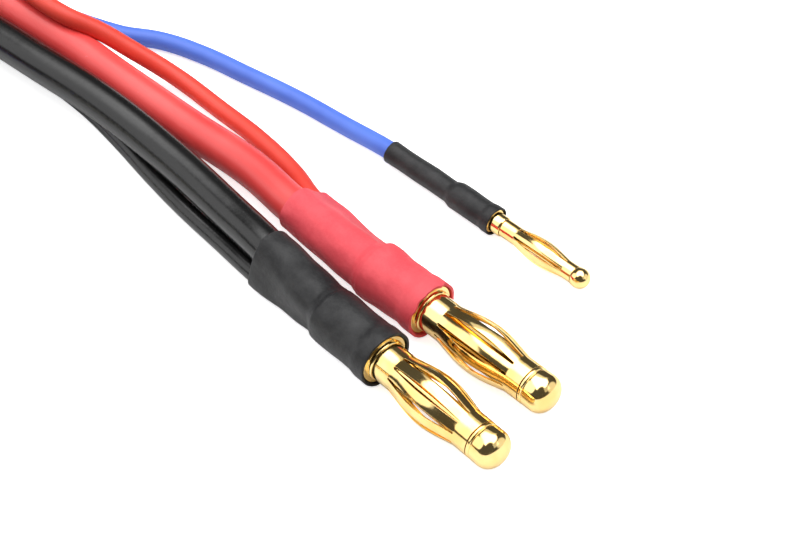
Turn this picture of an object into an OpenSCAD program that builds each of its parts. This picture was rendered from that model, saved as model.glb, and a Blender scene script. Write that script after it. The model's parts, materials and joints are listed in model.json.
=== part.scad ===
// Battery lead connector: the pack end of a charge and balance lead.
// Two 4 mm gold plugs and one 2 mm gold plug lie on a table and point along +X.
// Their wires run back along -X through a sleeve into a neat coil, and end in two
// shelled 4 mm plugs and a three way balance plug. Millimetres, table at z = 0.

/* [Main plugs] */
// Diameter of the closed ends of the spring cage
main_tube_d = 3.6; // [3.2:0.05:4]
// Free diameter at the belly of the spring cage
main_belly_d = 4.8; // [4.2:0.05:5.2]
// Thickness of the spring sheet
main_sheet = 0.2; // [0.12:0.01:0.3]
// Number of slots in the cage
main_slots = 10; // [6:1:14]
// Width of a slot at its ends
main_slot_w = 0.22; // [0.12:0.01:0.35]
// Flange face to the first end of the slots
main_slot_from = 2.2; // [1.6:0.1:3]
// Length of the slots
main_slot_len = 8; // [6:0.1:10]
// Closed length of cage past the slots
main_tube_end = 1.55; // [1:0.05:2.5]
// Diameter of the core inside the cage
main_core_d = 2.5; // [1.8:0.05:2.8]
// Length of the domed head
main_nose_len = 2.6; // [2.2:0.1:4]
// Diameter of the flange
main_flange_d = 4.4; // [4.2:0.05:5]
// Thickness of the flange
main_flange_t = 0.9; // [0.5:0.05:1.5]
// Outer diameter of the solder cup
main_cup_d = 4.2; // [4:0.05:4.8]
// Bore of the solder cup
main_cup_bore_d = 3.5; // [3:0.05:3.7]
// Flange face to the rear rim of the cup
main_cup_len = 8; // [6:0.1:11]

/* [Balance plug pin] */
// Diameter of the closed ends of the small cage
small_tube_d = 1.66; // [1.5:0.02:1.9]
// Free diameter at the belly of the small cage
small_belly_d = 2.36; // [2:0.02:2.6]
// Thickness of the small spring sheet
small_sheet = 0.12; // [0.08:0.01:0.16]
// Number of slots in the small cage
small_slots = 6; // [4:1:8]
// Width of a small slot at its ends
small_slot_w = 0.2; // [0.1:0.01:0.26]
// Length of the plain neck between flange and cage
small_neck = 1.2; // [0.8:0.1:2]
// Flange face to the first end of the small slots
small_slot_from = 2.7; // [2.3:0.1:3.5]
// Length of the small slots
small_slot_len = 5.6; // [4:0.1:7]
// Closed length of the small cage past the slots
small_tube_end = 1; // [0.6:0.05:1.6]
// Diameter of the small core
small_core_d = 1.05; // [0.8:0.05:1.2]
// Diameter of the ball at the tip
small_ball_d = 1.86; // [1.7:0.02:2.1]
// Diameter of the small flange
small_flange_d = 2.3; // [2.1:0.05:2.8]
// Thickness of the small flange
small_flange_t = 0.5; // [0.3:0.05:0.9]
// Outer diameter of the small solder cup
small_cup_d = 2.15; // [1.9:0.05:2.5]
// Bore of the small solder cup
small_cup_bore_d = 1.6; // [1.3:0.05:1.7]
// Flange face to the rear rim of the small cup
small_cup_len = 4.4; // [3.5:0.1:6]

/* [Shrink tubes] */
// Wall of the shrunk tubes on the main plugs
shrink_wall = 0.26; // [0.15:0.01:0.35]
// Length of the black tube behind the flange
black_shrink_len = 15.5; // [13:0.5:20]
// Length of the red tube behind the flange
red_shrink_len = 16.7; // [13:0.1:20]
// Wall of the small tube
small_shrink_wall = 0.15; // [0.1:0.01:0.2]
// Length of the small tube behind the flange
small_shrink_len = 12.5; // [10:0.5:16]

/* [Wires] */
// Outer diameter of the two power wires
power_wire_d = 3.4; // [3:0.05:3.5]
// Bare conductor of a power wire
power_core_d = 1.9; // [1.5:0.05:2.1]
// Outer diameter of the three balance wires
balance_wire_d = 1.7; // [1.4:0.05:1.8]
// Bare conductor of a balance wire
balance_core_d = 0.76; // [0.5:0.02:0.9]

/* [Charger end] */
// Largest diameter of the plastic shell on a charger plug
shell_d = 9; // [8:0.1:10]
// Length of the shell
shell_len = 26; // [22:0.5:32]
// Contacts of the balance plug
ways = 3; // [3:1:5]
// Spacing of the contacts
pitch = 2.5; // [2.5:0.04:2.54]

/* [Hidden] */
$fn = 72;

gold = [0.93, 0.74, 0.36];
copper = [0.8, 0.45, 0.25];
tin = [0.75, 0.75, 0.78];
black_skin = [0.12, 0.12, 0.13];
red_skin = [0.86, 0.2, 0.2];
red_shrink = [0.9, 0.3, 0.34];
blue_skin = [0.35, 0.47, 0.9];
white_nylon = [0.93, 0.92, 0.88];

slide_gap = 0.02;       // running clearance between turned parts
shrink_gap = 0.04;      // air left under a shrunk tube
rim = 0.35;             // how far a shrunk tube stands past the flange

// Where each flange face lies on the table, which way its plug points, and how its slots are turned
black_at = [1.8, -8.8];
black_turn = -3.6;
black_roll = 31;
red_at = [0.6, -2.1];
red_turn = -0.8;
red_roll = 17;
balance_at = [-3.5, 10.1];
balance_turn = 1;
balance_roll = 54;

main_slot_to = main_slot_from + main_slot_len;
main_cage_to = main_slot_to + main_tube_end;
main_cage_from = 0.3;
main_r = main_flange_d / 2 + shrink_gap + shrink_wall;      // a plug's axis above the table

small_slot_to = small_slot_from + small_slot_len;
small_cage_to = small_slot_to + small_tube_end;
small_r = small_flange_d / 2 + shrink_gap + small_shrink_wall;

power_r = power_wire_d / 2;
balance_r = balance_wire_d / 2;

// Where the wires lie behind the cups, as [side, height] from the plug's axis
strip = 1.4;            // bare conductor between the cup's rim and the skin of the wire
black_power_seat = [0.55, 0.8];
black_balance_seat = [-0.95, -1.3];
red_power_seat = [0.15, 0];
red_balance_seat = [2.5, -1.1];

// Sleeve that gathers the five wires: front end, direction, length and seats
sleeve_at = [-54, -4.7];
sleeve_turn = 10;
sleeve_len = 8;
sleeve_wall = 0.4;
sleeve_height = 3.35;
sleeve_seats = [
    [-1.75, 0, power_r], [1.75, 0, power_r], [0, -1.9, balance_r],
    [2.9, 2.35, balance_r], [4.15, -1.1, balance_r]
];

// Coil: middle, inner and outer radius, heights of its steps
coil_at = [-85, -29.8];
coil_inner_r = 15.6;
coil_step_r = 23;
coil_outer_r = 28.4;
coil_top = 7.1;
coil_step = 5.4;

// Routes of the wires from the cups to the coil
black_power_route = [
    [-7.62, -7.66, 3.3], [-13.6, -7.28, 3.3], [-19, -6.7, 3.1], [-28.4, -5.6, 3],
    [-36.8, -5.7, 3.3], [-44.5, -6, 3.5], [-53.7, -6.42, 3.35], [-61.6, -7.8, 3.35],
    [-64.8, -8.4, 3.2]
];
red_power_route = [
    [-8.85, -1.82, 2.5], [-16.1, -1.72, 2.5], [-22.5, -1, 2.35], [-30.2, -1.1, 2.3],
    [-38.5, -1.4, 2.7], [-46.1, -2, 3.1], [-54.3, -2.98, 3.35], [-62.2, -4.4, 3.35],
    [-68.1, -5.4, 3.65]
];
black_balance_route = [
    [-7.7, -9.16, 1.2], [-13.7, -8.78, 1.2], [-19.5, -8, 0.9], [-24.5, -7.5, 0.88],
    [-29.2, -7.05, 0.87], [-34.5, -6.75, 0.87], [-40, -6.4, 0.87], [-49.5, -5.1, 0.95],
    [-54, -4.7, 1.45], [-61.9, -6.1, 1.45], [-64.2, -6.1, 1], [-67.2, -5.2, 0.86],
    [-71.8, -3.6, 0.86]
];
red_balance_route = [
    [-8.8, 0.53, 1.4], [-16.4, 0.64, 1.4], [-20.5, 1.8, 1], [-25.5, 2.7, 0.88], [-31, 2.9, 0.87],
    [-36.5, 2.5, 1.5], [-41, 1.4, 3.3], [-43.4, 0.5, 4.6], [-46.3, -1, 5.6], [-54.5, -1.84, 5.7],
    [-62.4, -3.2, 5.7], [-68.6, -3, 5.3], [-75.3, -2.1, 2.6]
];
blue_balance_route = [
    [-9.35, 10, 1.34], [-16, 9.88, 1.34], [-21.5, 9.6, 0.9], [-27, 9, 0.86], [-32.5, 8, 0.86],
    [-37.5, 7, 0.86], [-41.3, 5.7, 0.86], [-45, 3.4, 0.95], [-54.7, -0.6, 2.25], [-62.6, -2, 2.25],
    [-68.9, -1.5, 1.3], [-74.5, -0.9, 0.86], [-79.3, -1, 0.86]
];

// Where the plugs at the charger's end lie
black_charger_at = [-28, -44.7];
black_charger_turn = 0;
red_charger_at = [-30, -54.2];
red_charger_turn = 0;
plug_at = [-45.6, -26.5];
plug_turn = 45;

// Routes from the coil to the plugs at the charger's end
black_power_tail_route = [
    [-59.7, -45.15, 5.1], [-56.5, -44.85, 4.7], [-53.5, -44.7, 4.5], [-39.6, -44.7, 4.5]
];
red_power_tail_route = [
    [-67.2, -53.6, 5.1], [-61, -54.1, 4.75], [-55.5, -54.2, 4.5], [-41.6, -54.2, 4.5]
];
black_balance_tail_route = [
    [-56.2, -34.7, 2.6], [-55, -33, 2.7], [-53.6, -31, 3]
];
red_balance_tail_route = [
    [-56.9, -37.8, 2.6], [-54.4, -35.3, 2.6], [-51.9, -32.8, 3]
];
blue_balance_tail_route = [
    [-58.1, -41.5, 2.6], [-54.2, -38, 2.3], [-50.1, -34.5, 3]
];

// ---------- shared forms ----------

// A form turned on a lathe; points are [radius, distance along +X]
module turned(points) rotate([0, 90, 0]) rotate_extrude() polygon(points);

// Puts a plug's own frame, +X along its pin, at its place on the table
module at_place(at, turn, height) translate([at[0], at[1], height]) rotate([0, 0, turn]) children();

// Quarter round from [r, 0] to [0, len], as [radius, distance] from `from`
function dome(r, len, from) = [for (a = [0:6:90]) [r * cos(a), from + len * sin(a)]];

// Radius of a cage at a distance s: straight ends and a barrel between the slot ends
function cage_r(s, tube_r, belly_r, from, to) =
    s <= from || s >= to ? tube_r
    : tube_r + (belly_r - tube_r) * pow(sin(180 * (s - from) / (to - from)), 1.25);

// Outline of a slot that leaves ribs of one width: narrow ends with a round nose, wide at the belly
function slot_outline(slots, tube_r, belly_r, from, to, slot_w, steps) =
    let (
        rib = 2 * PI * tube_r / slots - slot_w,
        nose = slot_w / 2,
        a = from + nose,
        b = to - nose,
        side = [for (i = [0:steps])
            let (s = a + (b - a) * i / steps)
            [s, max(nose, (2 * PI * cage_r(s, tube_r, belly_r, from, to) / slots - rib) / 2)]],
        front = [for (t = [60:-30:-60]) [b + nose * cos(t), nose * sin(t)]],
        back = [for (t = [240:-30:120]) [a + nose * cos(t), nose * sin(t)]]
    )
    concat(side, front, [for (i = [steps:-1:0]) [side[i][0], -side[i][1]]], back);

// Rolled sheet with slots whose ribs bow out into a barrel
module spring_cage(tube_d, belly_d, sheet, slots, slot_w, start, from, to, end, roll) {
    tube_r = tube_d / 2;
    belly_r = belly_d / 2;
    steps = 12;
    outer = [for (i = [0:steps])
        let (s = from + (to - from) * i / steps) [cage_r(s, tube_r, belly_r, from, to), s]];
    inner = [for (i = [steps:-1:0]) [outer[i][0] - sheet, outer[i][1]]];
    rotate([roll, 0, 0]) difference() {
        turned(concat(
            [[tube_r - sheet, start], [tube_r, start]], outer,
            [[tube_r, end], [tube_r - sheet, end]], inner
        ));
        // one slot is centred on the lowest line of the sheet before it is rolled
        for (i = [0:slots - 1])
            rotate([180 + i * 360 / slots, 0, 0])
                linear_extrude(height = belly_r + 1)
                    polygon(slot_outline(slots, tube_r, belly_r, from, to, slot_w, steps));
    }
}

// Outline of a skin stretched over round things; circles are [side, height, radius]
function wrap(circles, grow, count) =
    [for (j = [0:count - 1])
        let (
            d = [cos(360 * j / count), sin(360 * j / count)],
            reach = [for (c = circles) c[0] * d[0] + c[1] * d[1] + c[2]],
            c = circles[search(max(reach), reach)[0]]
        )
        [c[0] + (c[2] + grow) * d[0], c[1] + (c[2] + grow) * d[1]]];

// Closes a loop of rings into one solid
module ring_skin(rings) {
    n = len(rings);
    m = len(rings[0]);
    polyhedron(
        points = [for (r = rings) each r],
        faces = [for (i = [0:n - 1], j = [0:m - 1])
            let (k = (i + 1) % n, l = (j + 1) % m) each [
                [i * m + j, i * m + l, k * m + l],
                [i * m + j, k * m + l, k * m + j]
            ]]
    );
}

// Tube shrunk over round things; stations are [distance, circles], front to rear
module shrunk(stations, gap, wall, count) {
    last = len(stations) - 1;
    ring_skin(concat(
        [for (s = stations) [for (p = wrap(s[1], gap + wall, count)) [s[0], p[0], p[1]]]],
        [for (i = [last:-1:0])
            [for (p = wrap(stations[i][1], gap, count)) [stations[i][0], p[0], p[1]]]]
    ));
}

// Blends one list of circles into another
function mixed(a, b, t) = [for (i = [0:len(a) - 1]) a[i] + (b[i] - a[i]) * t];

function unit(v) = v / norm(v);

// Ring of a wire at point i of its route, square to the route
function wire_ring(route, i, r, sides) =
    let (
        along = unit(route[min(i + 1, len(route) - 1)] - route[max(i - 1, 0)]),
        side = unit(cross([0, 0, 1], along)),
        up = cross(along, side)
    )
    [for (j = [0:sides - 1])
        route[i] + r * (cos(360 * j / sides) * side + sin(360 * j / sides) * up)];

// Wire swept along its route
module wire(route, d, sides) {
    n = len(route);
    rings = [for (i = [0:n - 1]) wire_ring(route, i, d / 2, sides)];
    polyhedron(
        points = [for (r = rings) each r],
        faces = concat(
            [[for (j = [sides - 1:-1:0]) j]],
            [[for (j = [0:sides - 1]) (n - 1) * sides + j]],
            [for (i = [0:n - 2], j = [0:sides - 1])
                let (l = (j + 1) % sides) each [
                    [i * sides + j, i * sides + l, (i + 1) * sides + l],
                    [i * sides + j, (i + 1) * sides + l, (i + 1) * sides + j]
                ]]
        )
    );
}

// ---------- 4 mm plug ----------

// Turned pin: cup, flange, core and domed head in one piece
module main_pin_body() {
    cup_r = main_cup_d / 2;
    bore_r = main_cup_bore_d / 2;
    flange_r = main_flange_d / 2;
    core_r = main_core_d / 2;
    seat_r = main_tube_d / 2 - main_sheet - slide_gap;
    nose_r = main_tube_d / 2;
    cup_floor = -main_flange_t - 0.4;
    rim_w = 0.28;
    nose_from = main_cage_to + 0.05;
    difference() {
        turned(concat(
            [
                [0, cup_floor - 0.6], [bore_r, cup_floor], [bore_r, 0.25 - main_cup_len],
                [bore_r + 0.15, -main_cup_len], [cup_r - 0.1, -main_cup_len],
                [cup_r, 0.1 - main_cup_len], [cup_r, -main_flange_t - 0.15],
                [flange_r, -main_flange_t], [flange_r, -0.12], [flange_r - 0.12, 0],
                [main_tube_d / 2 + 0.17, 0], [main_tube_d / 2 + 0.17, 0.16],
                [main_tube_d / 2 + 0.08, main_cage_from - 0.02], [seat_r, main_cage_from - 0.02],
                [seat_r, main_slot_from - 0.5], [core_r, main_slot_from + 0.1],
                [core_r, main_slot_to - 0.1], [seat_r, main_slot_to + 0.5],
                [seat_r, nose_from], [nose_r - 0.06, nose_from], [nose_r, nose_from + 0.06],
                [nose_r, nose_from + rim_w], [nose_r - 0.07, nose_from + rim_w + 0.06],
                [nose_r - 0.02, nose_from + rim_w + 0.14]
            ],
            dome(nose_r, nose_r * 0.97, nose_from + main_nose_len - nose_r * 0.97)
        ));
        // window in the top of the cup, through which the solder is fed
        translate([-main_cup_len + 2.2, 0, 0]) cylinder(h = cup_r + 1, d = 1.6);
        translate([-main_cup_len + 3.6, 0, 0]) cylinder(h = cup_r + 1, d = 1.6);
        translate([-main_cup_len + 2.2, -0.8, 0]) cube([1.4, 1.6, cup_r + 1]);
    }
}

module main_cage(roll)
    spring_cage(main_tube_d, main_belly_d, main_sheet, main_slots, main_slot_w,
        main_cage_from, main_slot_from, main_slot_to, main_cage_to, roll);

// Stripped ends of a power wire and a balance wire, side by side in the cup
module paired_cores(power_seat, balance_seat) {
    wire([
        [-main_cup_len - strip + slide_gap, power_seat[0], power_seat[1]],
        [-main_cup_len - strip + 0.5, power_seat[0], power_seat[1]],
        [-main_cup_len, 0.35 * sign(power_seat[0] - balance_seat[0]), -0.1],
        [-2.4, 0.35 * sign(power_seat[0] - balance_seat[0]), -0.1]
    ], power_core_d, 12);
    wire([
        [-main_cup_len - strip + slide_gap, balance_seat[0], balance_seat[1]],
        [-main_cup_len - strip + 0.5, balance_seat[0], balance_seat[1]],
        [-main_cup_len, -1.05 * sign(power_seat[0] - balance_seat[0]), -0.1],
        [-2.4, -1.05 * sign(power_seat[0] - balance_seat[0]), -0.1]
    ], balance_core_d, 8);
}

// Solder that fills the cup round the bare ends
module cup_solder(power_seat, balance_seat) {
    bore_r = main_cup_bore_d / 2 - slide_gap;
    away = sign(power_seat[0] - balance_seat[0]);
    difference() {
        turned([
            [0, -main_flange_t - 1.1], [bore_r, -main_flange_t - 0.5],
            [bore_r, 0.7 - main_cup_len], [0, 1.1 - main_cup_len]
        ]);
        translate([-main_cup_len - 1, 0.35 * away, -0.1]) rotate([0, 90, 0])
            cylinder(h = main_cup_len - 1.4 + slide_gap, d = power_core_d + 2 * slide_gap);
        translate([-main_cup_len - 1, -1.05 * away, -0.1]) rotate([0, 90, 0])
            cylinder(h = main_cup_len - 1.4 + slide_gap, d = balance_core_d + 2 * slide_gap);
    }
}

// Circles under a main shrink tube, from its rim over flange and cup to the two wires
function main_stations(length, power_seat, balance_seat) =
    let (
        flange = [[0, 0, main_flange_d / 2], [0, 0, main_flange_d / 2]],
        cup = [[0, 0, main_cup_d / 2], [0, 0, main_cup_d / 2]],
        wires = [
            [power_seat[0], power_seat[1], power_r],
            [balance_seat[0], balance_seat[1], balance_r]
        ],
        edge = -main_cup_len
    )
    [
        [rim, flange], [-main_flange_t - 0.1, flange], [-main_flange_t - 0.9, cup],
        [edge - 0.1, cup], [edge - 0.5, mixed(cup, wires, 0.3)], [edge - 1, mixed(cup, wires, 0.7)],
        [edge - strip - 0.3, wires], [-length, wires]
    ];

module main_shrink(length, power_seat, balance_seat)
    shrunk(main_stations(length, power_seat, balance_seat), shrink_gap, shrink_wall, 32);

// ---------- 2 mm plug ----------

module small_pin_body() {
    cup_r = small_cup_d / 2;
    bore_r = small_cup_bore_d / 2;
    flange_r = small_flange_d / 2;
    seat_r = small_tube_d / 2 - small_sheet - slide_gap;
    ball_r = small_ball_d / 2;
    ball_from = small_cage_to + 0.03;
    turned(concat(
        [
            [0, -small_flange_t - 0.6], [bore_r, -small_flange_t - 0.2],
            [bore_r, 0.1 - small_cup_len], [bore_r + 0.1, -small_cup_len],
            [cup_r, -small_cup_len], [cup_r, -small_flange_t], [flange_r, -small_flange_t],
            [flange_r, -0.06], [flange_r - 0.06, 0], [small_tube_d / 2 - 0.02, 0],
            [small_tube_d / 2 - 0.02, small_neck - 0.02], [seat_r, small_neck - 0.02],
            [seat_r, small_slot_from - 0.3], [small_core_d / 2, small_slot_from],
            [small_core_d / 2, small_slot_to], [seat_r, small_slot_to + 0.3], [seat_r, ball_from],
            [ball_r - 0.12, ball_from], [ball_r - 0.03, ball_from + 0.12]
        ],
        dome(ball_r, ball_r, ball_from + 0.5)
    ));
}

module small_cage(roll)
    spring_cage(small_tube_d, small_belly_d, small_sheet, small_slots, small_slot_w,
        small_neck, small_slot_from, small_slot_to, small_cage_to, roll);

module small_shrink() {
    flange = [[0, 0, small_flange_d / 2]];
    cup = [[0, 0, small_cup_d / 2]];
    skin = [[0, 0, balance_r]];
    shrunk([
        [0.15, flange], [-small_flange_t - 0.1, flange], [-small_flange_t - 0.5, cup],
        [-small_cup_len - 0.05, cup], [-small_cup_len - 0.45, mixed(cup, skin, 0.6)],
        [-small_cup_len - 1.1, skin], [-small_shrink_len, skin]
    ], shrink_gap, small_shrink_wall, 28);
}

// ---------- charger end ----------

// Moulded shell round the cup of a charger plug, with grip rings and a wire hole
module charger_shell() {
    r = shell_d / 2;
    cup_r = main_cup_d / 2 + slide_gap;
    flange_r = main_flange_d / 2 + slide_gap;
    hole_r = power_r + 0.15;
    throat = -main_cup_len - 3;
    grips = [for (i = [0:5]) let (s = -4 - i * 2.2) each
        [[r, s], [r, s - 1.1], [r - 0.4, s - 1.35], [r - 0.4, s - 1.95]]];
    turned(concat(
        [[flange_r, 0], [r - 0.8, 0], [r - 0.2, -0.25], [r, -0.9]], grips,
        [
            [r, -17.4], [r, -shell_len + 6], [r - 0.9, -shell_len + 3],
            [r - 1.2, -shell_len + 0.6], [r - 1.6, -shell_len], [hole_r, -shell_len],
            [hole_r, throat - 1], [cup_r, throat], [cup_r, -main_flange_t - 0.15 - slide_gap],
            [flange_r, -main_flange_t - slide_gap]
        ]
    ));
}

// Housing with one cell for each contact, side rails and latch windows
module plug_housing() {
    wide = pitch * (ways - 1) + 4.8;
    tall = 5.75;
    deep = 7;
    difference() {
        union() {
            translate([-deep, -wide / 2, 0]) cube([deep, wide, tall]);
            for (side = [-1, 1])
                translate([-deep, side * (pitch * (ways - 1) / 2) - 0.35, tall - 0.01])
                    cube([deep - 1, 0.7, 0.81]);
            translate([-deep - 2, -wide / 2 + 0.6, 0.8]) cube([2.01, wide - 1.2, tall - 1.6]);
        }
        for (i = [0:ways - 1]) translate([0, (i - (ways - 1) / 2) * pitch, 0]) {
            translate([-deep - 3, -1, 2]) cube([deep + 2.2, 2, 2]);
            translate([-1, -0.5, 2.5]) cube([2, 1, 1]);
            translate([-3.6, -0.75, tall - 2]) cube([1.6, 1.5, 3]);
        }
    }
}

// Crimped contacts: a box for the post, a waist and the crimp round each wire
module plug_contacts() {
    for (i = [0:ways - 1]) translate([-1.2, (i - (ways - 1) / 2) * pitch, 3]) {
        difference() {
            translate([-3.6, -0.9, -0.9]) cube([3.6, 1.8, 1.8]);
            translate([-3.4, -0.7, -0.7]) cube([4, 1.4, 1.4]);
        }
        translate([-5.4, -0.5, -0.9]) cube([1.9, 1, 0.3]);
        translate([-7.4, 0, 0]) rotate([0, 90, 0]) difference() {
            cylinder(h = 2.1, r = 0.9);
            translate([0, 0, -1]) cylinder(h = 4, r = 0.7);
        }
    }
}

// ---------- nodes ----------

module black_pin_body()
    color(gold) at_place(black_at, black_turn, main_r) main_pin_body();
module black_spring_cage()
    color(gold) at_place(black_at, black_turn, main_r) main_cage(black_roll);
module black_solder()
    color(tin) at_place(black_at, black_turn, main_r) cup_solder(black_power_seat, black_balance_seat);
module black_wire_cores()
    color(copper) at_place(black_at, black_turn, main_r)
        paired_cores(black_power_seat, black_balance_seat);
module black_heat_shrink()
    color(black_skin) at_place(black_at, black_turn, main_r)
        main_shrink(black_shrink_len, black_power_seat, black_balance_seat);

module red_pin_body()
    color(gold) at_place(red_at, red_turn, main_r) main_pin_body();
module red_spring_cage()
    color(gold) at_place(red_at, red_turn, main_r) main_cage(red_roll);
module red_solder()
    color(tin) at_place(red_at, red_turn, main_r) cup_solder(red_power_seat, red_balance_seat);
module red_wire_cores()
    color(copper) at_place(red_at, red_turn, main_r) paired_cores(red_power_seat, red_balance_seat);
module red_heat_shrink()
    color(red_shrink) at_place(red_at, red_turn, main_r)
        main_shrink(red_shrink_len, red_power_seat, red_balance_seat);

module balance_pin_body()
    color(gold) at_place(balance_at, balance_turn, small_r) small_pin_body();
module balance_spring_cage()
    color(gold) at_place(balance_at, balance_turn, small_r) small_cage(balance_roll);
module balance_solder()
    color(tin) at_place(balance_at, balance_turn, small_r) difference() {
        turned([
            [0, -small_flange_t - 0.8], [small_cup_bore_d / 2 - slide_gap, -small_flange_t - 0.4],
            [small_cup_bore_d / 2 - slide_gap, 0.3 - small_cup_len], [0, 0.6 - small_cup_len]
        ]);
        translate([-small_cup_len - 1, 0, 0]) rotate([0, 90, 0])
            cylinder(h = small_cup_len - 0.6 + slide_gap, d = balance_core_d + 2 * slide_gap);
    }
module balance_wire_core()
    color(copper) at_place(balance_at, balance_turn, small_r)
        translate([-small_cup_len - strip + 0.05, 0, 0]) rotate([0, 90, 0])
            cylinder(h = small_cup_len + strip - 1.65, d = balance_core_d);
module balance_heat_shrink()
    color(black_skin) at_place(balance_at, balance_turn, small_r) small_shrink();

module black_power_wire() color(black_skin) wire(black_power_route, power_wire_d, 8);
module red_power_wire() color(red_skin) wire(red_power_route, power_wire_d, 8);
module black_balance_wire() color(black_skin) wire(black_balance_route, balance_wire_d, 8);
module red_balance_wire() color(red_skin) wire(red_balance_route, balance_wire_d, 8);
module blue_balance_wire() color(blue_skin) wire(blue_balance_route, balance_wire_d, 8);

module bundle_sleeve()
    color(black_skin) at_place(sleeve_at, sleeve_turn, sleeve_height)
        shrunk([[0, sleeve_seats], [-sleeve_len, sleeve_seats]], 0.05, sleeve_wall, 40);

module lead_coil()
    color(black_skin) translate([coil_at[0], coil_at[1], 0]) rotate_extrude() polygon([
        [coil_inner_r, 0.6], [coil_inner_r + 0.8, 0], [coil_outer_r - 0.5, 0],
        [coil_outer_r, 0.4], [coil_outer_r, coil_step - 0.6], [coil_outer_r - 0.6, coil_step],
        [coil_step_r + 0.4, coil_step], [coil_step_r - 0.2, coil_top - 0.6],
        [coil_step_r - 0.8, coil_top], [coil_inner_r + 0.8, coil_top],
        [coil_inner_r, coil_top - 0.8]
    ]);

module black_power_tail() color(black_skin) wire(black_power_tail_route, power_wire_d, 8);
module red_power_tail() color(red_skin) wire(red_power_tail_route, power_wire_d, 8);
module black_balance_tail() color(black_skin) wire(black_balance_tail_route, balance_wire_d, 8);
module red_balance_tail() color(red_skin) wire(red_balance_tail_route, balance_wire_d, 8);
module blue_balance_tail() color(blue_skin) wire(blue_balance_tail_route, balance_wire_d, 8);

module black_charger_shell()
    color(black_skin) at_place(black_charger_at, black_charger_turn, shell_d / 2) charger_shell();
module black_charger_pin()
    color(gold) at_place(black_charger_at, black_charger_turn, shell_d / 2) main_pin_body();
module black_charger_cage()
    color(gold) at_place(black_charger_at, black_charger_turn, shell_d / 2) main_cage(black_roll);
module black_charger_solder() color(tin) at_place(black_charger_at, black_charger_turn, shell_d / 2)
    charger_solder();
module red_charger_shell()
    color(red_skin) at_place(red_charger_at, red_charger_turn, shell_d / 2) charger_shell();
module red_charger_pin()
    color(gold) at_place(red_charger_at, red_charger_turn, shell_d / 2) main_pin_body();
module red_charger_cage()
    color(gold) at_place(red_charger_at, red_charger_turn, shell_d / 2) main_cage(red_roll);
module red_charger_solder() color(tin) at_place(red_charger_at, red_charger_turn, shell_d / 2)
    charger_solder();

// Solder and bare wire end in one, in the cup of a charger plug
module charger_solder() turned([
    [0, -main_flange_t - 1.1], [main_cup_bore_d / 2 - slide_gap, -main_flange_t - 0.5],
    [main_cup_bore_d / 2 - slide_gap, 0.6 - main_cup_len], [power_core_d / 2, -main_cup_len],
    [power_core_d / 2, -main_cup_len - strip - 2], [0, -main_cup_len - strip - 2]
]);

module balance_plug_housing() color(white_nylon) at_place(plug_at, plug_turn, 0) plug_housing();
module balance_plug_contacts() color(tin) at_place(plug_at, plug_turn, 0) plug_contacts();

black_pin_body();
black_spring_cage();
black_solder();
black_wire_cores();
black_heat_shrink();
red_pin_body();
red_spring_cage();
red_solder();
red_wire_cores();
red_heat_shrink();
balance_pin_body();
balance_spring_cage();
balance_solder();
balance_wire_core();
balance_heat_shrink();
black_power_wire();
red_power_wire();
black_balance_wire();
red_balance_wire();
blue_balance_wire();
bundle_sleeve();
lead_coil();
black_power_tail();
red_power_tail();
black_balance_tail();
red_balance_tail();
blue_balance_tail();
black_charger_shell();
black_charger_pin();
black_charger_cage();
black_charger_solder();
red_charger_shell();
red_charger_pin();
red_charger_cage();
red_charger_solder();
balance_plug_housing();
balance_plug_contacts();
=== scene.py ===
import json
import math
import bpy
import bmesh
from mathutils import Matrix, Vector, noise


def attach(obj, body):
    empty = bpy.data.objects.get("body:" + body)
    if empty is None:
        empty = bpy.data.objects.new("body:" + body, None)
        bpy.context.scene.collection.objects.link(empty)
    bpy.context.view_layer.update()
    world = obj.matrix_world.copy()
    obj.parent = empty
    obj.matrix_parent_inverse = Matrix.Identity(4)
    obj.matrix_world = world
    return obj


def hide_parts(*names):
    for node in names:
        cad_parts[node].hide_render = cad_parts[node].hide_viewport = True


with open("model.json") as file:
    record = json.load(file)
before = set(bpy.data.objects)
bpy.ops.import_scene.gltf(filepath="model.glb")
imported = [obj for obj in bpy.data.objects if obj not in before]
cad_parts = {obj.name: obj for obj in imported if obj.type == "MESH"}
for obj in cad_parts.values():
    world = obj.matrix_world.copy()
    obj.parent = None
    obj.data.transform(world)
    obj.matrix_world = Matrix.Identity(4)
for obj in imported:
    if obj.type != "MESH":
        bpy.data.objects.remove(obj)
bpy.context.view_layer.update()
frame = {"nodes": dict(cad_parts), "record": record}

mm = 0.001
root = "root"
collection = bpy.context.scene.collection
print("frame loaded:", len(frame["nodes"]), "nodes")

# camera

cameraSetup = {
    "lookAt": (-6.4, 1.3, 0.0), "bearing": -45.3, "elevation": 46.5, "distance": 300.0,
    "lens": 156.6, "sensor": 36.0, "near": 0.01, "far": 20.0,
}


def makeCamera(setup):
    bearing = math.radians(setup["bearing"])
    elevation = math.radians(setup["elevation"])
    direction = Vector((
        math.cos(bearing) * math.cos(elevation),
        math.sin(bearing) * math.cos(elevation),
        math.sin(elevation),
    ))
    data = bpy.data.cameras.new("camera")
    data.lens = setup["lens"]
    data.sensor_width = setup["sensor"]
    data.clip_start = setup["near"]
    data.clip_end = setup["far"]
    camera = bpy.data.objects.new("camera", data)
    camera.location = (Vector(setup["lookAt"]) + direction * setup["distance"]) * mm
    camera.rotation_euler = (-direction).to_track_quat("-Z", "Y").to_euler()
    collection.objects.link(camera)
    bpy.context.scene.camera = camera


makeCamera(cameraSetup)

# shader maths


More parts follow.
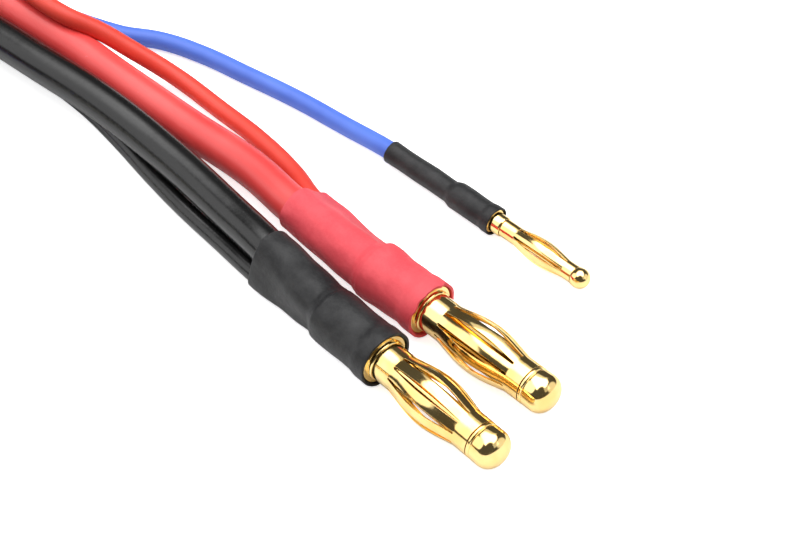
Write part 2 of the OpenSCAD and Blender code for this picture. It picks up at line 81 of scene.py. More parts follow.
class Field:
    def __init__(self, tree, socket=None):
        self.tree = tree
        self.socket = socket

    def add(self, kind, settings=None, values=None, out=0):
        node = self.tree.nodes.new(kind)
        for name, value in (settings or {}).items():
            setattr(node, name, value)
        for name, value in (values or {}).items():
            if isinstance(value, Field):
                self.tree.links.new(value.socket, node.inputs[name])
            else:
                node.inputs[name].default_value = value
        return Field(self.tree, node.outputs[out])

    def math(self, operation, *terms):
        return self.add("ShaderNodeMath", {"operation": operation}, dict(enumerate(terms)))

    def __add__(self, other):
        return self.math("ADD", self, other)

    def __radd__(self, other):
        return self.math("ADD", other, self)

    def __rsub__(self, other):
        return self.math("SUBTRACT", other, self)

    def __mul__(self, other):
        return self.math("MULTIPLY", self, other)

    def __rmul__(self, other):
        return self.math("MULTIPLY", other, self)

    def between(self, low, high):
        values = {"Value": self, "From Min": low, "From Max": high}
        return self.add("ShaderNodeMapRange", {"interpolation_type": "SMOOTHSTEP"}, values)

    def noise(self, scale, detail=3.0, roughness=0.55):
        values = {"Vector": self, "Scale": scale, "Detail": detail, "Roughness": roughness}
        return self.add("ShaderNodeTexNoise", None, values)

    def blend(self, low, high):
        ends = [end if isinstance(end, Field) else (*end, 1.0) for end in (low, high)]
        return self.add("ShaderNodeMix", {"data_type": "RGBA"}, {0: self, 6: ends[0], 7: ends[1]}, out=2)

    def bump(self, strength, distance):
        return self.add("ShaderNodeBump", None, {"Height": self, "Strength": strength, "Distance": distance})


def newMaterial(name):
    material = bpy.data.materials.new(name)
    material.use_nodes = True
    tree = material.node_tree
    surface = tree.nodes["Principled BSDF"]
    place = Field(tree).add("ShaderNodeTexCoord", out=3)
    return material, surface, place


def finish(surface, fixed, maps):
    for name, value in fixed.items():
        surface.inputs[name].default_value = value
    for name, field in maps.items():
        field.tree.links.new(field.socket, surface.inputs[name])


# materials


def makeGold(name, light, dark):
    material, surface, place = newMaterial(name)
    cloud = place.noise(420.0, 2.0).between(0.35, 0.7)
    grain = place.noise(5200.0, 4.0, 0.7)
    finish(surface, {"Metallic": 1.0}, {
        "Base Color": cloud.blend(light, dark),
        "Roughness": 0.07 + 0.07 * grain,
        "Normal": place.noise(900.0, 3.0).bump(0.05, 0.0002),
    })
    return material


def makeShrink(name, light, dark, roughness):
    material, surface, place = newMaterial(name)
    cloud = place.noise(260.0, 8.0, 0.78).between(0.32, 0.68)
    grain = place.noise(3600.0, 5.0, 0.75)
    finish(surface, {"IOR": 1.4}, {
        "Base Color": cloud.blend(light, dark),
        "Roughness": roughness + 0.12 * grain,
        "Normal": (grain + 2.0 * place.noise(700.0, 2.0)).bump(0.5, 0.00006),
    })
    return material


def makeSilicone(name, light, dark, roughness):
    material, surface, place = newMaterial(name)
    cloud = place.noise(130.0, 3.0).between(0.3, 0.7)
    grain = place.noise(3600.0, 4.0)
    specks = place.noise(2300.0, 2.0).between(0.74, 0.8)
    finish(surface, {"IOR": 1.5}, {
        "Base Color": (0.12 * specks).blend(cloud.blend(light, dark), (0.75, 0.75, 0.75)),
        "Roughness": roughness + 0.14 * grain,
        "Normal": (grain + 3.0 * cloud).bump(0.12, 0.00005),
    })
    return material


def makePlastic(name, light, dark, roughness):
    material, surface, place = newMaterial(name)
    cloud = place.noise(90.0, 2.0).between(0.3, 0.7)
    finish(surface, {"IOR": 1.5}, {
        "Base Color": cloud.blend(light, dark),
        "Roughness": roughness + 0.1 * place.noise(1800.0, 3.0),
        "Normal": place.noise(2600.0, 3.0).bump(0.06, 0.00004),
    })
    return material


def makeTin(name, tint, roughness):
    material, surface, place = newMaterial(name)
    cloud = place.noise(900.0, 3.0)
    finish(surface, {"Metallic": 1.0}, {
        "Base Color": cloud.blend(tint, tuple(0.8 * part for part in tint)),
        "Roughness": roughness + 0.2 * cloud,
        "Normal": cloud.bump(0.1, 0.0001),
    })
    return material


paint = {
    "gold": makeGold("goldPlate", (0.97, 0.72, 0.31), (0.91, 0.62, 0.22)),
    "solder": makeTin("solder", (0.72, 0.72, 0.75), 0.25),
    "copper": makeTin("bareCopper", (0.82, 0.45, 0.27), 0.3),
    "black_shrink": makeShrink("blackShrink", (0.03, 0.03, 0.031), (0.007, 0.007, 0.008), 0.4),
    "red_shrink": makeShrink("redShrink", (0.82, 0.095, 0.115), (0.74, 0.065, 0.085), 0.5),
    "black_silicone": makeSilicone("blackSilicone", (0.008, 0.008, 0.008), (0.005, 0.005, 0.005), 0.16),
    "red_silicone": makeSilicone("redSilicone", (0.83, 0.085, 0.08), (0.76, 0.06, 0.058), 0.28),
    "thin_red_silicone": makeSilicone("thinRedSilicone", (0.78, 0.06, 0.035), (0.7, 0.045, 0.026), 0.42),
    "blue_silicone": makeSilicone("blueSilicone", (0.09, 0.2, 0.75), (0.065, 0.155, 0.66), 0.42),
    "black_shell": makePlastic("blackShell", (0.03, 0.03, 0.03), (0.02, 0.02, 0.02), 0.24),
    "red_shell": makePlastic("redShell", (0.6, 0.02, 0.02), (0.5, 0.015, 0.015), 0.24),
    "white_nylon": makePlastic("whiteNylon", (0.82, 0.8, 0.72), (0.78, 0.76, 0.68), 0.38),
    "tinned_contact": makeTin("tinnedContact", (0.8, 0.8, 0.82), 0.12),
}
for row in frame["record"]["subparts"]:
    node = frame["nodes"][row["node"]]
    node.data.materials.clear()
    node.data.materials.append(paint[row["material_slot"]])
print("materials made:", len(paint))

# wires

coil = {
    "middle": (-85.0, -29.8), "enter": 100.0, "step": 10.0,
    "climb": (255.0, 312.0),  # degrees past the entry where a wire rises onto its second turn
    "thinUnder": 2.5, "hump": 2.7, "humpUp": (268.0, 302.0), "humpDown": (338.0, 370.0),
}
wires = {
    "blackPowerWire": {
        "nodes": ("black_power_wire", "black_power_tail"), "slot": "black_silicone",
        "diameter": 3.4, "radius": 17.5, "sweep": 535.0, "low": 1.7, "high": 5.2,
        "leave": (-13.6, -7.28, 3.3),
        "route": [
            (-7.6, -8.16, 2.8), (-13.6, -7.28, 3.3), (-19, -6.5, 3.1), (-28.4, -5.5, 3.15),
            (-36.8, -5.35, 3.45), (-44.5, -5.8, 3.5), (-53.7, -6.42, 3.35), (-61.6, -7.8, 3.35),
            (-64.8, -8.4, 3.2),
        ],
        "entry": [(19.5, 2.4), (15.5, 1.85), (8, 1.7)], "exit": [(8, 5.2), (15, 5.2), (21, 5.18)],
        "tail": [(-59.7, -45.15, 5.1), (-56.5, -44.85, 4.7), (-53.5, -44.7, 4.5), (-39.6, -44.7, 4.5)],
        "end": ("plug", ("black_charger_shell", "black_charger_solder")),
    },
    "redPowerWire": {
        "nodes": ("red_power_wire", "red_power_tail"), "slot": "red_silicone",
        "diameter": 3.4, "radius": 21.1, "sweep": 522.0, "low": 1.7, "high": 5.2,
        "leave": (-16.1, -1.72, 2.5),
        "route": [
            (-8.85, -1.82, 2.5), (-16.1, -1.72, 2.5), (-22.5, -1, 2.35), (-30.2, -1.25, 2.25),
            (-38.5, -1.7, 2.65), (-46.1, -2.1, 3.1), (-54.3, -2.98, 3.35), (-62.2, -4.4, 3.35),
            (-68.1, -5.4, 3.65),
        ],
        "entry": [(17.3, 2.6), (12, 1.8), (6, 1.7)], "exit": [(7, 5.2), (14, 5.2), (18, 5.18)],
        "tail": [(-67.2, -53.6, 5.1), (-61, -54.1, 4.75), (-55.5, -54.2, 4.5), (-41.6, -54.2, 4.5)],
        "end": ("plug", ("red_charger_shell", "red_charger_solder")),
    },
    "blackBalanceWire": {
        "nodes": ("black_balance_wire", "black_balance_tail"), "slot": "black_silicone",
        "diameter": 1.7, "radius": 23.8, "sweep": 575.0, "low": 0.86, "high": 2.6,
        "leave": (-13.7, -8.78, 1.2),
        "route": [
            (-7.7, -9.16, 1.2), (-13.7, -8.78, 1.2), (-19.5, -8, 0.9), (-24.5, -7.45, 0.88),
            (-29.2, -6.7, 0.86), (-34.5, -5.7, 0.86), (-40, -4.95, 0.86), (-49.5, -4.9, 0.95),
            (-54, -4.7, 1.45), (-61.9, -6.1, 1.45), (-64.2, -6.1, 1), (-67.2, -5.2, 0.86),
            (-71.8, -3.6, 0.86),
        ],
        "entry": [(9, 0.86)], "exit": [(8, 2.6)],
        "tail": [(-56.2, -34.7, 2.6), (-55, -33, 2.7), (-53.6, -31, 3)],
        "end": ("connector", ("balance_plug_housing",)),
    },
    "redBalanceWire": {
        "nodes": ("red_balance_wire", "red_balance_tail"), "slot": "thin_red_silicone",
        "diameter": 1.7, "radius": 25.55, "sweep": 575.0, "low": 0.86, "high": 2.6,
        "leave": (-16.4, 0.64, 1.4),
        "route": [
            (-8.8, 0.1, 1.2), (-16.4, 0.85, 1.4), (-20.5, 2.2, 1), (-25.5, 3, 0.88),
            (-31, 3.2, 0.87), (-36.5, 2.9, 1.5), (-41, 1.3, 3.2), (-43.4, 0.15, 4.4),
            (-46.3, -1.5, 5.6), (-54.5, -1.84, 5.7), (-62.4, -3.2, 5.7), (-68.6, -3, 5.3),
            (-75.3, -2.1, 2.6),
        ],
        "entry": [(10.4, 1.5), (6, 0.95)], "exit": [(7, 2.6)],
        "tail": [(-56.9, -37.8, 2.6), (-54.4, -35.3, 2.6), (-51.9, -32.8, 3)],
        "end": ("connector", ("balance_plug_housing",)),
    },
    "blueBalanceWire": {
        "nodes": ("blue_balance_wire", "blue_balance_tail"), "slot": "blue_silicone",
        "diameter": 1.7, "radius": 27.3, "sweep": 575.0, "low": 0.86, "high": 2.6,
        "leave": (-16, 9.88, 1.34),
        "route": [
            (-9.35, 10, 1.34), (-16, 9.88, 1.34), (-21.5, 9.6, 0.9), (-27, 9, 0.86),
            (-32.5, 8, 0.86), (-37.5, 7, 0.86), (-41.3, 5.7, 0.86), (-45, 3.4, 0.95),
            (-54.7, -0.6, 2.25), (-62.6, -2, 2.25), (-68.9, -1.5, 1.3), (-74.5, -0.9, 0.86),
            (-79.3, -1, 0.86),
        ],
        "entry": [(5, 0.86)], "exit": [(5, 2.6)],
        "tail": [(-58.1, -41.5, 2.6), (-54.2, -38, 2.3), (-50.1, -34.5, 3)],
        "end": ("connector", ("balance_plug_housing",)),
    },
}


def ease(value, low, high):
    share = min(max((value - low) / (high - low), 0.0), 1.0)
    return share * share * (3 - 2 * share)


def coilPoint(wire, degrees, ahead, height):
    angle = math.radians(degrees)
    x = coil["middle"][0] + wire["radius"] * math.cos(angle) - ahead * math.sin(angle)
    y = coil["middle"][1] + wire["radius"] * math.sin(angle) + ahead * math.cos(angle)
    return (x, y, height)


def coilTurns(wire):
    count = round(wire["sweep"] / coil["step"])
    points = [coilPoint(wire, coil["enter"], -before, height) for before, height in wire["entry"]]
    for i in range(count + 1):
        turned = wire["sweep"] * i / count
        height = wire["low"] + (wire["high"] - wire["low"]) * ease(turned, *coil["climb"])
        if wire["diameter"] < coil["thinUnder"]:  # over the two power wires where they come in
            height += coil["hump"] * ease(turned, *coil["humpUp"]) * (1 - ease(turned, *coil["humpDown"]))
        points.append(coilPoint(wire, coil["enter"] + turned, 0.0, height))
    last = coil["enter"] + wire["sweep"]
    return points + [coilPoint(wire, last, past, height) for past, height in wire["exit"]]


def makeWire(name, wire):
    route = wire["route"] + coilTurns(wire) + wire["tail"]
    data = bpy.data.curves.new(name, "CURVE")
    data.dimensions = "3D"
    data.bevel_depth = wire["diameter"] / 2 * mm
    data.bevel_resolution = 8
    data.resolution_u = 8
    data.use_fill_caps = True
    spline = data.splines.new("BEZIER")
    spline.bezier_points.add(len(route) - 1)
    for point, place in zip(spline.bezier_points, route):
        point.co = Vector(place) * mm
        point.handle_left_type = "AUTO"
        point.handle_right_type = "AUTO"
    piece = bpy.data.objects.new(name, data)
    collection.objects.link(piece)
    data.materials.append(paint[wire["slot"]])
    length = spline.calc_length() / mm
    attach(piece, root)
    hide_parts(*wire["nodes"], "lead_coil")
    round(length * mm, 3)
    print(name, "is", round(length), "mm long")


for name, wire in wires.items():
    makeWire(name, wire)

# meshes


def plugMatrix(plug):
    turn = math.radians(plug["turn"])
    roll = math.radians(plug.get("roll", 0.0))
    along = Vector((math.cos(turn), math.sin(turn), 0.0))
    side = Vector((-math.sin(turn), math.cos(turn), 0.0))
    up = Vector((0.0, 0.0, 1.0))
    tilted = side * math.cos(roll) + up * math.sin(roll)
    upright = up * math.cos(roll) - side * math.sin(roll)
    middle = Vector((*plug["at"], plug["height"]))
    return lambda s, across, high: (middle + along * s + tilted * across + upright * high) * mm


def addPiece(name, builder, slot, replaced=(), sharp=35.0):
    mesh = bpy.data.meshes.new(name)
    bmesh.ops.recalc_face_normals(builder, faces=builder.faces)
    builder.to_mesh(mesh)
    builder.free()
    mesh.materials.append(paint[slot])
    for polygon in mesh.polygons:
        polygon.use_smooth = True
    mesh.set_sharp_from_angle(angle=math.radians(sharp))
    piece = bpy.data.objects.new(name, mesh)
    collection.objects.link(piece)
    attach(piece, root)
    if replaced:
        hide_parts(*replaced)
    return piece


def addFace(builder, around):
    corners = []
    for vertex in around:
        if vertex not in corners:
            corners.append(vertex)
    if len(corners) > 2:
        builder.faces.new(corners)


def joinRings(builder, rings):
    for low, high in zip(rings[:-1], rings[1:]):
        count = len(low)
        for i in range(count):
            j = (i + 1) % count
            addFace(builder, (low[i], low[j], high[j], high[i]))


def giveThickness(piece, thickness, edge, harden):
    wall = piece.modifiers.new("wall", "SOLIDIFY")
    wall.thickness = thickness * mm
    wall.offset = -1.0
    edges = piece.modifiers.new("edges", "BEVEL")
    edges.width = edge * mm
    edges.segments = 2
    edges.limit_method = "ANGLE"
    edges.angle_limit = math.radians(50)
    edges.harden_normals = harden


def lathe(builder, profile, place, count):
    rings = []
    for radius, s in profile:
        if radius < 1e-6:
            rings.append([builder.verts.new(place(s, 0.0, 0.0))] * count)
            continue
        ring = []
        for i in range(count):
            angle = 2 * math.pi * i / count
            ring.append(builder.verts.new(place(s, radius * math.cos(angle), radius * math.sin(angle))))
        rings.append(ring)
    joinRings(builder, rings)


def roundCorners(profile, radius, steps=4):
    rounded = [profile[0]]
    for before, corner, after in zip(profile[:-2], profile[1:-1], profile[2:]):
        b, c, a = (Vector((*p, 0.0)) for p in (before, corner, after))
        inward = b - c
        outward = a - c
        if inward.length < 1e-6 or outward.length < 1e-6:
            continue
        reach = min(radius, 0.45 * inward.length, 0.45 * outward.length)
        bend = inward.angle(outward)
        if bend > math.radians(170):
            rounded.append(corner)
            continue
        start = c + inward.normalized() * reach
        stop = c + outward.normalized() * reach
        for i in range(steps + 1):
            t = i / steps
            point = start * (1 - t) ** 2 + c * 2 * t * (1 - t) + stop * t ** 2
            rounded.append((point.x, point.y))
    rounded.append(profile[-1])
    return rounded


cageMesh = {"across": 8, "along": 72, "ends": 4, "turn": 18, "edge": 0.05}


def barrel(s, cage):
    if s <= cage["from"] or s >= cage["to"]:
        return cage["tube"]
    share = (s - cage["from"]) / (cage["to"] - cage["from"])
    return cage["tube"] + (cage["belly"] - cage["tube"]) * math.sin(math.pi * share) ** cage["fullness"]


def slotGap(s, radius, cage):
    # half of the slot's width at this station, none past its round ends
    nose = cage["slot"] / 2
    if s <= cage["from"] or s >= cage["to"]:
        return 0.0
    if s < cage["from"] + nose:
        return math.sqrt(max(nose ** 2 - (cage["from"] + nose - s) ** 2, 0.0))
    if s > cage["to"] - nose:
        return math.sqrt(max(nose ** 2 - (s - cage["to"] + nose) ** 2, 0.0))
    rib = 2 * math.pi * cage["tube"] / cage["slots"] - cage["slot"]
    return max(nose, math.pi * radius / cage["slots"] - rib / 2)


def cageStations(cage):
    nose = cage["slot"] / 2
    ends = cageMesh["ends"]
    steps = cageMesh["along"]
    turn = cageMesh["turn"]
    front = [cage["start"] + (cage["from"] - cage["start"]) * i / ends for i in range(ends)]
    rise = [cage["from"] + nose * (1 - math.cos(math.radians(a))) for a in range(0, 90, turn)]
    slotted = cage["to"] - cage["from"] - 2 * nose
    ribs = [cage["from"] + nose + slotted * i / steps for i in range(steps + 1)]
    fall = [cage["to"] - nose * (1 - math.cos(math.radians(a))) for a in range(90 - turn, -1, -turn)]
    back = [cage["to"] + (cage["end"] - cage["to"]) * i / ends for i in range(1, ends + 1)]
    return front + rise + ribs + fall + back


def makeCage(name, plug, cage, node):
    place = plugMatrix(plug)
    builder = bmesh.new()
    slots = cage["slots"]
    across = cageMesh["across"]
    rows = []
    for s in cageStations(cage):
        radius = barrel(s, cage)
        gap = slotGap(s, radius, cage)
        half = math.pi / slots - gap / radius
        row = []
        for k in range(slots):
            for i in range(across + 1):
                # where the slot is shut, two neighbouring ribs share their edge
                if gap == 0 and i == 0 and k > 0:
                    row.append(row[-1])
                elif gap == 0 and i == across and k == slots - 1:
                    row.append(row[0])
                else:
                    angle = 2 * math.pi * k / slots + half * (2 * i / across - 1)
                    spot = place(s, radius * math.cos(angle), radius * math.sin(angle))
                    row.append(builder.verts.new(spot))
        rows.append(row)
    for low, high in zip(rows[:-1], rows[1:]):
        for k in range(slots):
            for a in range(k * (across + 1), k * (across + 1) + across):
                addFace(builder, (low[a], low[a + 1], high[a + 1], high[a]))
    piece = addPiece(name, builder, "gold", (node,), 50.0)
    giveThickness(piece, cage["sheet"], cageMesh["edge"], True)


# 4 mm plugs

mainPin = {
    "cup": 2.1, "bore": 1.75, "cupLength": 8.0, "flange": 2.34, "flangeThick": 0.9, "edge": 0.06,
    "collar": 0.14, "collarTo": 0.3, "seat": 1.58, "seatFrom": 0.4, "seatTo": 1.7,
    "core": 1.25, "coreFrom": 2.3, "coreTo": 10.1, "headSeat": 10.7, "nose": 1.8, "noseFrom": 11.8,
    "groove": 0.11, "grooveAt": 0.34, "headAt": 0.6, "tip": 14.4, "dome": 1.38, "domePower": 0.9,
    "rounding": 0.05, "sides": 96,
}
mainCage = {
    "tube": 1.8, "belly": 2.4, "fullness": 1.25, "sheet": 0.2, "slots": 10, "slot": 0.22,
    "start": 0.42, "from": 2.2, "to": 10.2, "end": 11.75,
}
mainPlugs = {
    "black": {
        "at": (1.8, -8.8), "turn": -3.6, "roll": 31.0, "height": 2.5, "cupLength": 6.6,
        "nodes": ("black_pin_body", "black_spring_cage"),
    },
    "red": {
        "at": (0.6, -2.1), "turn": -0.8, "roll": 17.0, "height": 2.5, "cupLength": 6.2,
        "nodes": ("red_pin_body", "red_spring_cage"),
    },
    "blackCharger": {
        "at": (-28, -44.7), "turn": 0.0, "roll": 31.0, "height": 4.5,
        "nodes": ("black_charger_pin", "black_charger_cage"),
    },
    "redCharger": {
        "at": (-30, -54.2), "turn": 0.0, "roll": 17.0, "height": 4.5,
        "nodes": ("red_charger_pin", "red_charger_cage"),
    },
}


def pinProfile(pin):
    nose, back, cup, head = pin["nose"], -pin["flangeThick"], -pin["cupLength"], pin["noseFrom"]
    shell = roundCorners([
        (0.0, back - 1.0), (pin["bore"], back - 0.4), (pin["bore"], 0.25 + cup),
        (pin["bore"] + 0.15, cup), (pin["cup"] - 0.1, cup), (pin["cup"], 0.1 + cup),
        (pin["cup"], back - 0.15), (pin["flange"], back), (pin["flange"], -pin["edge"]),
        (pin["flange"] - pin["edge"], 0.0), (nose + pin["collar"], 0.0),
        (nose + pin["collar"], pin["collarTo"]), (nose + 0.05, pin["seatFrom"]),
        (pin["seat"], pin["seatFrom"]), (pin["seat"], pin["seatTo"]),
        (pin["core"], pin["coreFrom"]), (pin["core"], pin["coreTo"]),
        (pin["seat"], pin["headSeat"]), (pin["seat"], head),
        (nose - pin["edge"], head), (nose, head + pin["edge"]), (nose, head + 0.26),
        (nose - pin["groove"], head + pin["grooveAt"]), (nose - 0.02, head + 0.46),
        (nose, head + pin["headAt"]),
    ], pin["rounding"])
    power = pin["domePower"]
    domeFrom = pin["tip"] - pin["dome"]
    dome = []
    for degrees in range(0, 90, 3):
        angle = math.radians(degrees)
        height = domeFrom + pin["dome"] * math.sin(angle) ** power
        dome.append((nose * math.cos(angle) ** power, height))
    return shell + dome + [(0.0, pin["tip"])]


for name, plug in mainPlugs.items():
    body = bmesh.new()
    pin = {**mainPin, "cupLength": plug.get("cupLength", mainPin["cupLength"])}
    lathe(body, pinProfile(pin), plugMatrix({**plug, "roll": 0.0}), pin["sides"])
    addPiece(name + "PinBody", body, "gold", (plug["nodes"][0],), 40.0)
    makeCage(name + "SpringCage", plug, mainCage, plug["nodes"][1])
print("4 mm plugs made")

# 2 mm plug

smallPlug = {"at": (-3.5, 10.1), "turn": 1.0, "roll": 54.0, "height": 1.34}
smallPin = {
    "cup": 1.075, "bore": 0.8, "cupLength": 4.4, "flange": 1.15, "flangeThick": 0.5, "edge": 0.06,
    "neck": 0.93, "neckTo": 1.0, "seat": 0.69, "seatFrom": 1.14, "seatTo": 2.4,
    "core": 0.525, "coreFrom": 2.7, "coreTo": 8.3, "ballSeat": 8.6, "ball": 0.93, "ballFrom": 9.33,
    "domeAt": 0.5, "rounding": 0.03, "sides": 72,
}
smallCage = {
    "tube": 0.83, "belly": 1.18, "fullness": 1.25, "sheet": 0.12, "slots": 6, "slot": 0.2,
    "start": 1.2, "from": 2.7, "to": 8.3, "end": 9.3,
}


def smallProfile(pin):
    ball, back, cup, head = pin["ball"], -pin["flangeThick"], -pin["cupLength"], pin["ballFrom"]
    shell = roundCorners([
        (0.0, back - 0.6), (pin["bore"], back - 0.2), (pin["bore"], 0.1 + cup),
        (pin["bore"] + 0.1, cup), (pin["cup"], cup), (pin["cup"], back), (pin["flange"], back),
        (pin["flange"], -pin["edge"]), (pin["flange"] - pin["edge"], 0.0), (pin["neck"], 0.0),
        (pin["neck"], pin["neckTo"]), (pin["neck"] - pin["edge"], pin["seatFrom"]),
        (pin["seat"], pin["seatFrom"]), (pin["seat"], pin["seatTo"]),
        (pin["core"], pin["coreFrom"]), (pin["core"], pin["coreTo"]),
        (pin["seat"], pin["ballSeat"]), (pin["seat"], head), (ball - 0.12, head),
        (ball - 0.03, head + 0.12),
    ], pin["rounding"])
    domeFrom = head + pin["domeAt"]
    dome = []
    for degrees in range(0, 90, 3):
        angle = math.radians(degrees)
        dome.append((ball * math.cos(angle), domeFrom + ball * math.sin(angle)))
    return shell + dome + [(0.0, domeFrom + ball)]


body = bmesh.new()
lathe(body, smallProfile(smallPin), plugMatrix({**smallPlug, "roll": 0.0}), smallPin["sides"])
addPiece("balancePinBody", body, "gold", ("balance_pin_body",), 40.0)
makeCage("balanceSpringCage", smallPlug, smallCage, "balance_spring_cage")
print("2 mm plug made")

# shrink tubes

shrinkSkin = {"softness": 0.22, "drawnOver": 2.5, "lumpSize": (0.35, 0.55, 0.55), "edge": 0.07}
mainTube = {
    "front": 0.15, "ring": 2.36, "ringTo": -1.0, "sleeve": 2.22, "sleeveFrom": -2.0,
    "swellFrom": 2.2, "ridgeFrom": 0.35, "ridgeTo": 0.1, "wiresFrom": 1.2, "thin": 0.85,
}


def mixCircles(low, high, share):
    return [tuple(a + (b - a) * share for a, b in zip(one, other)) for one, other in zip(low, high)]


def skinPoint(circles, grow, angle, sag):
    # furthest point of the stretched skin in this direction, drawn in over the valley between two wires
    x, y = math.cos(angle), math.sin(angle)
    reaches = [c[0] * x + c[1] * y + c[2] for c in circles]
    weights = [math.exp((reach - max(reaches)) / shrinkSkin["softness"]) for reach in reaches]
    total = sum(weights)
    px = sum(w * (c[0] + (c[2] + grow) * x) for w, c in zip(weights, circles)) / total
    py = sum(w * (c[1] + (c[2] + grow) * y) for w, c in zip(weights, circles)) / total
    shared = 2 * (1 - sum((w / total) ** 2 for w in weights))
    apart = max(math.hypot(c[0] - circles[0][0], c[1] - circles[0][1]) for c in circles)
    drawn = sag * shared * min(apart / shrinkSkin["drawnOver"], 1.0)
    return px - x * drawn, py - y * drawn


def circlesAt(keys, s):
    for (s0, low), (s1, high) in zip(keys[:-1], keys[1:]):
        if s1 - 1e-6 <= s <= s0 + 1e-6:
            return mixCircles(low, high, ease(s0 - s, 0.0, s0 - s1))


def makeShrinkTube(name, plug, tube, slot, node):
    place = plugMatrix({**plug, "roll": 0.0})
    builder = bmesh.new()
    keys = tube["stations"]
    first, last = keys[0][0], keys[-1][0]
    along, across, high = shrinkSkin["lumpSize"]
    lowest = tube["floor"] - plug["height"]
    rings = []
    s = first
    while s > last - 1e-6:
        circles = circlesAt(keys, s)
        ring = []
        for i in range(tube["sides"]):
            angle = 2 * math.pi * i / tube["sides"]
            x, y = skinPoint(circles, tube["grow"], angle, tube["sag"])
            spot = Vector((s * along, x * across, y * high)) + Vector(tube["seed"])
            swell = tube["lumps"] * noise.noise(spot) * ease(abs(s - first), 0.6, 3.0)
            trim = tube["trim"] * noise.noise(Vector((x, y, 3.0))) if s > first - 0.3 else 0.0
            side = x + swell * math.cos(angle)
            lift = max(y + swell * math.sin(angle), lowest)
            ring.append(builder.verts.new(place(s + trim, side, lift)))
        rings.append(ring)
        s -= tube["step"]
    joinRings(builder, rings)
    piece = addPiece(name, builder, slot, (node,), 60.0)
    giveThickness(piece, tube["wall"], shrinkSkin["edge"], False)


def mainStations(length, cup, swell, near, far):
    ring = [(0, 0, mainTube["ring"])] * 2
    sleeve = [(0, 0, mainTube["sleeve"])] * 2
    ridge = [(0, 0, mainTube["sleeve"] + swell)] * 2
    thin = mainTube["thin"]
    pairs = [[(*power, thick), (*balance, thin)] for power, balance, thick in (near, far)]
    return [
        (mainTube["front"], ring), (mainTube["ringTo"], ring), (mainTube["sleeveFrom"], sleeve),
        (-cup + mainTube["swellFrom"], sleeve), (-cup + mainTube["ridgeFrom"], ridge),
        (-cup - mainTube["ridgeTo"], ridge), (-cup - mainTube["wiresFrom"], pairs[0]),
        (-length, pairs[1]),
    ]


sleeveSeats = [(-1.75, 0, 1.7), (1.75, 0, 1.7), (0, -1.9, 0.85), (2.9, 2.35, 0.85), (4.15, -1.1, 0.85)]
shrinkTubes = {
    "blackHeatShrink": {
        "plug": mainPlugs["black"],
        "stations": mainStations(
            15.5, 6.6, 0.06, ((0.15, 0.2), (-0.75, -1.15), 1.9), ((0.55, 0.8), (-0.95, -1.3), 1.7),
        ),
        "slot": "black_shrink", "node": "black_heat_shrink", "grow": 0.3, "sag": 0.02, "wall": 0.26,
        "sides": 96, "step": 0.16, "lumps": 0.16, "trim": 0.1, "floor": 0.01, "seed": (3.1, 0.4, 7.7),
    },
    "redHeatShrink": {
        "plug": mainPlugs["red"],
        "stations": mainStations(
            16.7, 6.3, 0.2, ((-0.15, 0.0), (2.2, -1.15), 2.0), ((0.15, 0.0), (2.7, -1.1), 1.75),
        ),
        "slot": "red_shrink", "node": "red_heat_shrink", "grow": 0.3, "sag": 0.2, "wall": 0.26,
        "sides": 96, "step": 0.16, "lumps": 0.14, "trim": 0.3, "floor": 0.01, "seed": (8.2, 5.1, 1.3),
    },
    "balanceHeatShrink": {
        "plug": smallPlug,
        "stations": [
            (0.15, [(0, 0, smallPin["flange"])]), (-0.6, [(0, 0, smallPin["flange"])]),
            (-1.0, [(0, 0, smallPin["cup"])]), (-4.45, [(0, 0, smallPin["cup"])]),
            (-5.3, [(0, 0, mainTube["thin"])]), (-12.5, [(0, 0, mainTube["thin"])]),
        ],
        "slot": "black_shrink", "node": "balance_heat_shrink", "grow": 0.19, "sag": 0.0, "wall": 0.15,
        "sides": 48, "step": 0.15, "lumps": 0.07, "trim": 0.05, "floor": 0.01, "seed": (1.7, 2.9, 4.4),
    },
    "bundleSleeve": {
        "plug": {"at": (-54, -4.7), "turn": 10.0, "height": 3.35},
        "stations": [(0.0, sleeveSeats), (-8.0, sleeveSeats)],
        "slot": "black_shrink", "node": "bundle_sleeve", "grow": 0.42, "sag": 0.25, "wall": 0.36,
        "sides": 96, "step": 0.2, "lumps": 0.1, "trim": 0.1, "floor": 0.06, "seed": (5.5, 0.9, 2.2),
    },
}
for name, tube in shrinkTubes.items():
    makeShrinkTube(name, tube["plug"], tube, tube["slot"], tube["node"])
print("shrink tubes made")

# studio

studio = {
    "floorSize": 6.0, "floorHeight": -0.00003, "floorGlow": 0.75,
    "paper": 0.93, "paperRoughness": 0.9, "paperShine": 0.1,
    "room": 0.085, "roof": 3.6, "roofFrom": (0.75, 0.84),
    "gap": {"aim": (0.49, -0.49, 0.72), "outer": 0.83, "inner": 0.93},
    "panels": (
        {"aim": (-0.63, -0.6, 0.5), "outer": 0.9, "inner": 0.94, "level": 1.6},
        {"aim": (0.75, 0.6, 0.3), "outer": 0.86, "inner": 0.93, "level": 0.9},
    ),
    "lamps": {
        "keyBox": {"place": (-0.25, 0.35, 0.75), "size": (0.6, 0.6), "power": 0.9},
        "fillBox": {"place": (0.6, 0.1, 0.45), "size": (0.4, 0.4), "power": 0.3},
    },
}


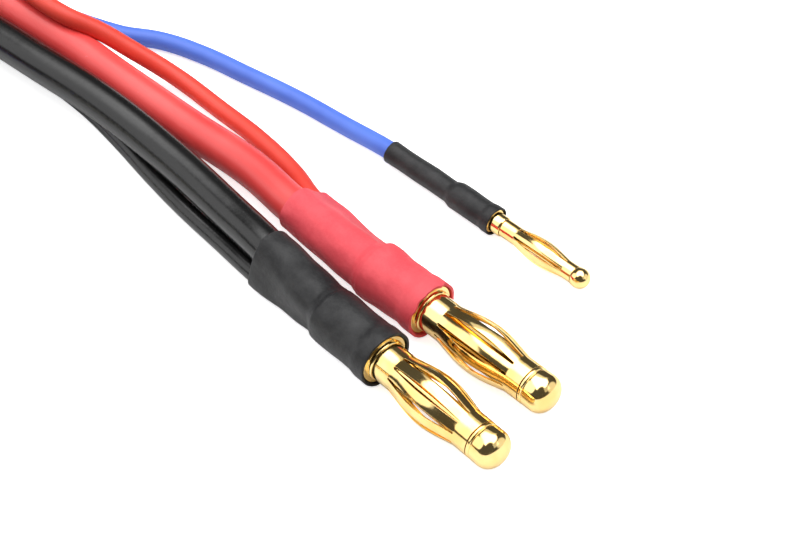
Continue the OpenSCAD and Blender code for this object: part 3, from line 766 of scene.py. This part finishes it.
def makeFloor():
    builder = bmesh.new()
    half = studio["floorSize"] / 2
    square = ((-half, -half), (half, -half), (half, half), (-half, half))
    builder.faces.new([builder.verts.new((x, y, studio["floorHeight"])) for x, y in square])
    mesh = bpy.data.meshes.new("floor")
    builder.to_mesh(mesh)
    builder.free()
    material = bpy.data.materials.new("paper")
    material.use_nodes = True
    tree = material.node_tree
    surface = tree.nodes["Principled BSDF"]
    surface.inputs["Base Color"].default_value = (*[studio["paper"]] * 3, 1.0)
    surface.inputs["Roughness"].default_value = studio["paperRoughness"]
    surface.inputs["Specular IOR Level"].default_value = studio["paperShine"]
    seen = Field(tree).add("ShaderNodeLightPath", out=0)
    surface.inputs["Emission Strength"].default_value = studio["floorGlow"]
    finish(surface, {}, {"Emission Color": seen.blend((0.0, 0.0, 0.0), (1.0, 1.0, 1.0))})
    mesh.materials.append(material)
    floor = bpy.data.objects.new("floor", mesh)
    collection.objects.link(floor)


def makeWorld():
    world = bpy.data.worlds.new("studio")
    bpy.context.scene.world = world
    world.use_nodes = True
    tree = world.node_tree
    sky = Field(tree)
    direction = sky.add("ShaderNodeTexCoord", out=0)

    def near(panel):
        aim = Vector(panel["aim"]).normalized()
        facing = sky.add("ShaderNodeVectorMath", {"operation": "DOT_PRODUCT"}, {0: direction, 1: aim}, out=1)
        return facing.between(panel["outer"], panel["inner"])

    height = sky.add("ShaderNodeSeparateXYZ", None, {"Vector": direction}, out=2)
    roof = height.between(*studio["roofFrom"]) * (1 - near(studio["gap"]))
    light = studio["room"] + studio["roof"] * roof
    for panel in studio["panels"]:
        light = light + panel["level"] * near(panel)
    seen = sky.add("ShaderNodeLightPath", out=0)
    backdrop = tree.nodes["Background"]
    strength = seen + (1 - seen) * light
    tree.links.new(strength.socket, backdrop.inputs["Strength"])
    backdrop.inputs["Color"].default_value = (1.0, 1.0, 1.0, 1.0)


def makeLamp(name, place, size, power):
    data = bpy.data.lights.new(name, "AREA")
    data.shape = "RECTANGLE"
    data.size, data.size_y = size
    data.energy = power
    lamp = bpy.data.objects.new(name, data)
    lamp.location = place
    lamp.rotation_euler = (-Vector(place)).to_track_quat("-Z", "Y").to_euler()
    collection.objects.link(lamp)


makeFloor()
makeWorld()
for name, lamp in studio["lamps"].items():
    makeLamp(name, lamp["place"], lamp["size"], lamp["power"])
bpy.context.scene.view_settings.view_transform = "Standard"
print("studio made")
